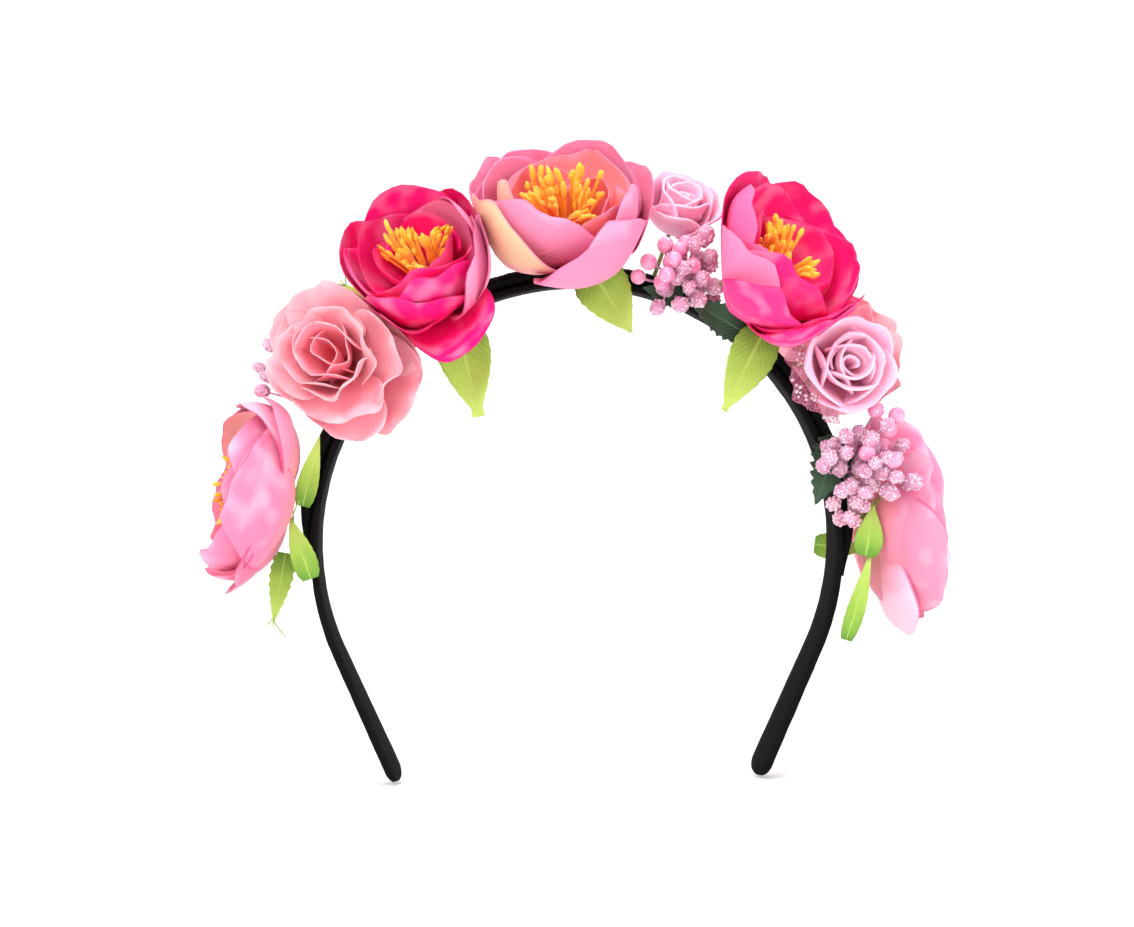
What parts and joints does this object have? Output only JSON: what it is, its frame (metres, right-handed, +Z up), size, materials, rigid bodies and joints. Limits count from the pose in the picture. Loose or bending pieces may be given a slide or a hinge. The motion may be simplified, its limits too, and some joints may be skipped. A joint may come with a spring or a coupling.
{
  "type": "flower crown",
  "caption": "Head band wrapped in fabric, with a garland of fabric peonies, roses, foam roses, berries and leaves wired along its arch.",
  "frame": {"origin": "top of the arch, on the inner face of the band, on its mid line", "axes": "+X along the band at the top, towards the wearer's left, +Y to the back of the head, +Z up out of the head"},
  "size_m": [0.2001, 0.0602, 0.172],
  "materials": {
    "band_core": "moulded spring plastic, hidden inside the cover",
    "band_cover": "black woven ribbon, faint satin sheen",
    "floral_tape": "dark green crepe paper tape, wound over wire",
    "petal_light_pink": "printed polyester satin, soft sheen",
    "petal_hot_pink": "printed polyester satin, soft sheen",
    "petal_coral": "printed polyester satin, soft sheen",
    "foam_rose": "closed-cell foam sheet, matt with a pearly bloom",
    "stamens": "starched thread, flocked tips",
    "calyx": "moulded soft green plastic",
    "berry_pearl": "pearl lacquer over foam",
    "berry_sugared": "lilac pink with white sugar grains",
    "berry_beaded": "pale pink, covered in tiny beads",
    "leaf_light": "green polyester cloth, ribbed",
    "leaf_dark": "dark green polyester cloth, ribbed",
    "tulle": "sheer pink tulle with white dots"
  },
  "bodies": {
    "crown": {"band_core_crown": "band_core", "band_cover_crown": "band_cover", "garland_wire_crown": "floral_tape", "leaf_top": "leaf_light", "peony_top_calyx": "calyx", "peony_top_cup_petals": "petal_light_pink", "peony_top_outer_petals": "petal_light_pink", "peony_top_stamens": "stamens"},
    "left_side": {"band_core_left": "band_core", "band_cover_left": "band_cover", "berry_pick_left": "berry_pearl", "garland_wire_left": "floral_tape", "leaf_left_curved": "leaf_light", "leaf_left_low": "leaf_light", "leaf_left_serrated": "leaf_light", "leaf_rose_left": "leaf_light", "leaf_upper_left": "leaf_light", "peony_left_calyx": "calyx", "peony_left_cup_petals": "petal_light_pink", "peony_left_outer_petals": "petal_light_pink", "peony_left_stamens": "stamens", "peony_upper_left_calyx": "calyx", "peony_upper_left_cup_petals": "petal_hot_pink", "peony_upper_left_outer_petals": "petal_hot_pink", "peony_upper_left_stamens": "stamens", "rose_left_bud": "petal_coral", "rose_left_calyx": "calyx", "rose_left_outer_petals": "petal_coral"},
    "right_side": {"band_core_right": "band_core", "band_cover_right": "band_cover", "berry_beaded_right": "berry_beaded", "berry_beaded_top": "berry_beaded", "berry_pearls_right": "berry_pearl", "berry_pearls_top": "berry_pearl", "berry_sugared_right": "berry_sugared", "berry_sugared_top": "berry_sugared", "foam_rose_right_heart": "foam_rose", "foam_rose_right_petals": "foam_rose", "foam_rose_top_heart": "foam_rose", "foam_rose_top_petals": "foam_rose", "garland_wire_right": "floral_tape", "leaf_dark_top": "leaf_dark", "leaf_dark_upper": "leaf_dark", "leaf_ivy": "leaf_dark", "leaf_right_back": "leaf_light", "leaf_right_light": "leaf_light", "leaf_right_long": "leaf_light", "leaf_upper_right": "leaf_light", "peony_right_calyx": "calyx", "peony_right_cup_petals": "petal_light_pink", "peony_right_outer_petals": "petal_light_pink", "peony_right_stamens": "stamens", "peony_upper_right_calyx": "calyx", "peony_upper_right_cup_petals": "petal_hot_pink", "peony_upper_right_outer_petals": "petal_hot_pink", "peony_upper_right_stamens": "stamens", "rose_right_bud": "petal_coral", "rose_right_calyx": "calyx", "rose_right_outer_petals": "petal_coral", "tulle_ribbon": "tulle"}
  },
  "joints": [
    {"name": "left_flex", "type": "hinge", "parent": "crown", "child": "left_side", "pos_m": [-0.01469, 0, -0.00015], "axis": [0, 1, 0], "range_deg": [-1, 4], "stiffness_Nm_per_rad": 2.5},
    {"name": "right_flex", "type": "hinge", "parent": "crown", "child": "right_side", "pos_m": [0.01469, 0, -0.00015], "axis": [0, -1, 0], "range_deg": [-1, 4], "stiffness_Nm_per_rad": 2.5}
  ]
}
